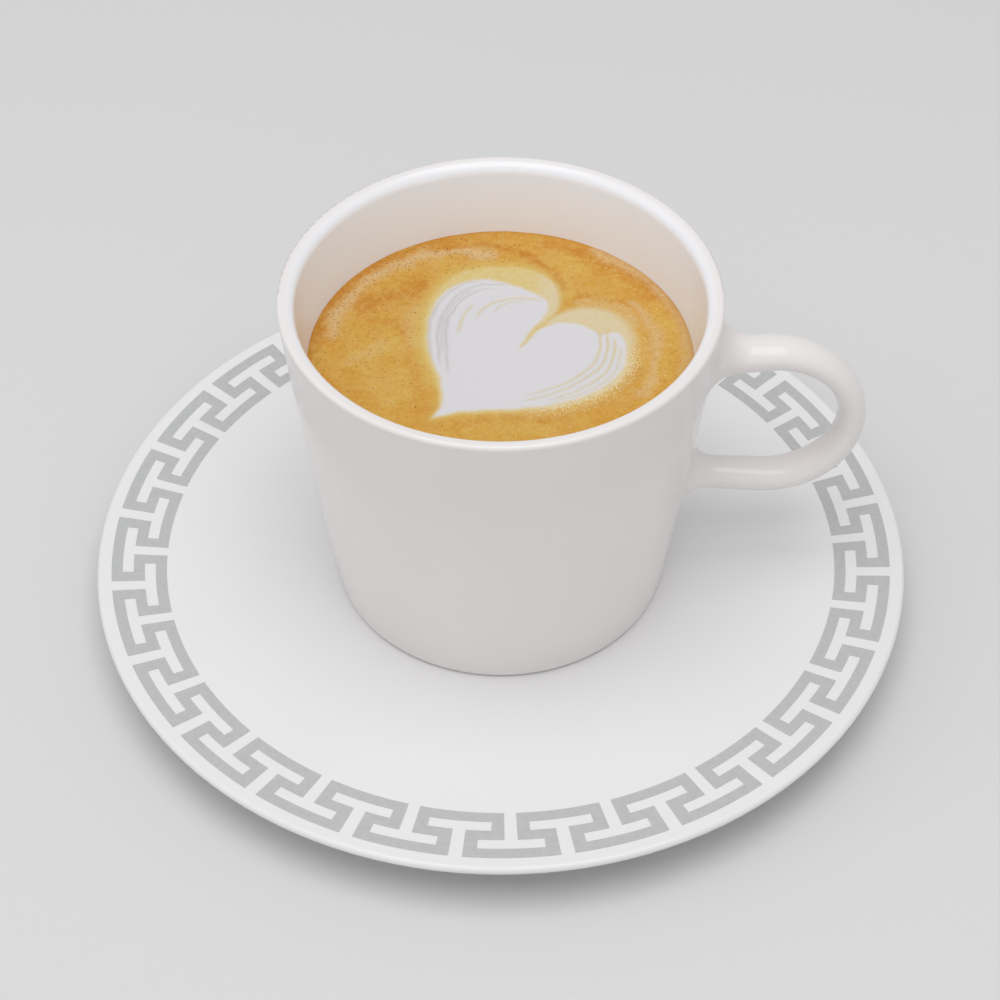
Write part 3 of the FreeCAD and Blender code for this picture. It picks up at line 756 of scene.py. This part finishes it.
def scatterTree():
    tree = bpy.data.node_groups.new("scattered bubbles", "GeometryNodeTree")
    face = tree.interface
    face.new_socket("Surface", in_out="INPUT", socket_type="NodeSocketGeometry")
    inputs = {}
    for name, kind in (("Where", "NodeSocketString"), ("Density", "NodeSocketFloat"),
                       ("Least", "NodeSocketFloat"), ("Most", "NodeSocketFloat"),
                       ("Flatness", "NodeSocketFloat"), ("Seed", "NodeSocketInt"),
                       ("Material", "NodeSocketMaterial")):
        inputs[name] = face.new_socket(name, in_out="INPUT", socket_type=kind).identifier
    face.new_socket("Bubbles", in_out="OUTPUT", socket_type="NodeSocketGeometry")
    start = addNode(tree, "NodeGroupInput")
    where = addNode(tree, "GeometryNodeInputNamedAttribute", {"Name": start.outputs["Where"]},
                    data_type="FLOAT")
    density = addNode(tree, "ShaderNodeMath", {0: where.outputs["Attribute"], 1: start.outputs["Density"]},
                      operation="MULTIPLY")
    points = addNode(tree, "GeometryNodeDistributePointsOnFaces",
                     {"Mesh": start.outputs["Surface"], "Density": density.outputs[0],
                      "Seed": start.outputs["Seed"]})
    ball = addNode(tree, "GeometryNodeMeshIcoSphere", {"Radius": 1.0, "Subdivisions": 2})
    size = addNode(tree, "FunctionNodeRandomValue",
                   {"Min": start.outputs["Least"], "Max": start.outputs["Most"],
                    "Seed": start.outputs["Seed"]}, data_type="FLOAT")
    tall = addNode(tree, "ShaderNodeMath", {0: size.outputs["Value"], 1: start.outputs["Flatness"]},
                   operation="MULTIPLY")
    scale = addNode(tree, "ShaderNodeCombineXYZ", {"X": size.outputs["Value"], "Y": size.outputs["Value"],
                                                   "Z": tall.outputs[0]})
    spread = addNode(tree, "GeometryNodeInstanceOnPoints",
                     {"Points": points.outputs["Points"], "Instance": ball.outputs["Mesh"],
                      "Scale": scale.outputs[0]})
    real = addNode(tree, "GeometryNodeRealizeInstances", {"Geometry": spread.outputs["Instances"]})
    smooth = addNode(tree, "GeometryNodeSetShadeSmooth", {"Geometry": real.outputs[0]})
    painted = addNode(tree, "GeometryNodeSetMaterial",
                      {"Geometry": smooth.outputs[0], "Material": start.outputs["Material"]})
    addNode(tree, "NodeGroupOutput", {"Bubbles": painted.outputs[0]})
    return tree, inputs


def bubbleFilm(name, colour, roughness):
    # the thin wet wall of a bubble, dark where it opens into the coffee and pale in the milk
    material, tree = newMaterial(name)
    place = addNode(tree, "ShaderNodeTexCoord").outputs["Object"]
    tone = addNode(tree, "ShaderNodeTexNoise", {"Vector": place, "Scale": scaleOf(2.0), "Detail": 2.0})
    light = addNode(tree, "ShaderNodeHueSaturation", {"Color": linearColour(colour), "Value": 1.25})
    shader = addNode(tree, "ShaderNodeBsdfPrincipled", {
        "Base Color": layerColours(tree, linearColour(colour),
                                   [(tone.outputs["Fac"], light.outputs["Color"])]),
        "Roughness": roughness,
        "IOR": 1.36,
    })
    finishMaterial(tree, shader)
    return material


bubbleTree, bubbleInputs = scatterTree()
for name, kind, colour, roughness, seed in (
        ("pores", "pore", bubbleValues["poreColour"], 0.35, bubbleValues["seed"]),
        ("beads", "bead", bubbleValues["beadColour"], 0.10, bubbleValues["seed"] + 1)):
    least, most = bubbleValues[kind + "Radius"]
    bubbles = bakeNodes(name, drink.data.copy(), bubbleTree, bubbleInputs, {
        "Where": name,
        "Density": bubbleValues[kind + "Density"] / mm ** 2,
        "Least": least * mm,
        "Most": most * mm,
        "Flatness": bubbleValues["flatness"],
        "Seed": seed,
        "Material": bubbleFilm("wet bubble film " + kind, colour, roughness),
    })
    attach(bubbles, "root")
    print(name, "scattered", len(bubbles.data.polygons) // 80)


# The studio: a plain pale floor, soft light from above, the camera before the drinker's side.

studioValues = {
    "floorColour": "#DEDEDD",
    "worldColour": "#F4F5F7",
    "worldStrength": 0.55,
    "softboxes": [             # name, place and width in metres, power in watts
        ("overhead", (0.0, -0.22, 1.15), 0.9, 6.5),
        ("fill", (-0.8, -0.1, 0.7), 0.7, 0.8),
        ("front", (0.0, -1.1, 0.5), 0.8, 0.45),     # low, for the inside of the far wall
    ],
    "lens": 85.0,
    "shift": (-0.00068, 0.0005),
    "distance": 0.4930,
    "elevation": 45.469,       # degrees above the table
    "aimHeight": 0.02451,
}


def addSoftbox(name, place, size, power, target):
    light = bpy.data.lights.new(name, "AREA")
    light.shape = "SQUARE"
    light.size = size
    light.energy = power
    lamp = bpy.data.objects.new(name, light)
    scene.collection.objects.link(lamp)
    lamp.location = place
    lamp.rotation_euler = (Vector(target) - Vector(place)).to_track_quat("-Z", "Y").to_euler()


def makeStudio(values):
    floorMesh = bpy.data.meshes.new("floor")
    floorMesh.from_pydata([(-3, -3, 0), (3, -3, 0), (3, 3, 0), (-3, 3, 0)], [], [(0, 1, 2, 3)])
    floor = newPiece("floor", floorMesh)
    # a board painted matt: pale, even and without a highlight
    material, tree = newMaterial("matt painted board")
    shader = addNode(tree, "ShaderNodeBsdfPrincipled",
                     {"Base Color": linearColour(values["floorColour"]), "Roughness": 0.8,
                      "Specular IOR Level": 0.2})
    finishMaterial(tree, shader)
    floorMesh.materials.append(material)
    world = bpy.data.worlds.new("studio")
    scene.world = world
    world.use_nodes = True
    background = world.node_tree.nodes["Background"]
    background.inputs["Color"].default_value = linearColour(values["worldColour"])
    background.inputs["Strength"].default_value = values["worldStrength"]
    middle = (0, 0, values["aimHeight"])
    for name, place, size, power in values["softboxes"]:
        addSoftbox(name, place, size, power, middle)
    camera = bpy.data.cameras.new("camera")
    camera.sensor_width = 36.0
    camera.lens = values["lens"]
    camera.shift_x, camera.shift_y = values["shift"]
    view = bpy.data.objects.new("camera", camera)
    scene.collection.objects.link(view)
    tilt = math.radians(values["elevation"])
    view.location = (0, -values["distance"] * math.cos(tilt),
                     values["aimHeight"] + values["distance"] * math.sin(tilt))
    view.rotation_euler = (math.pi / 2 - tilt, 0, 0)
    scene.camera = view
    scene.view_settings.view_transform = "Standard"


makeStudio(studioValues)
print("studio set")
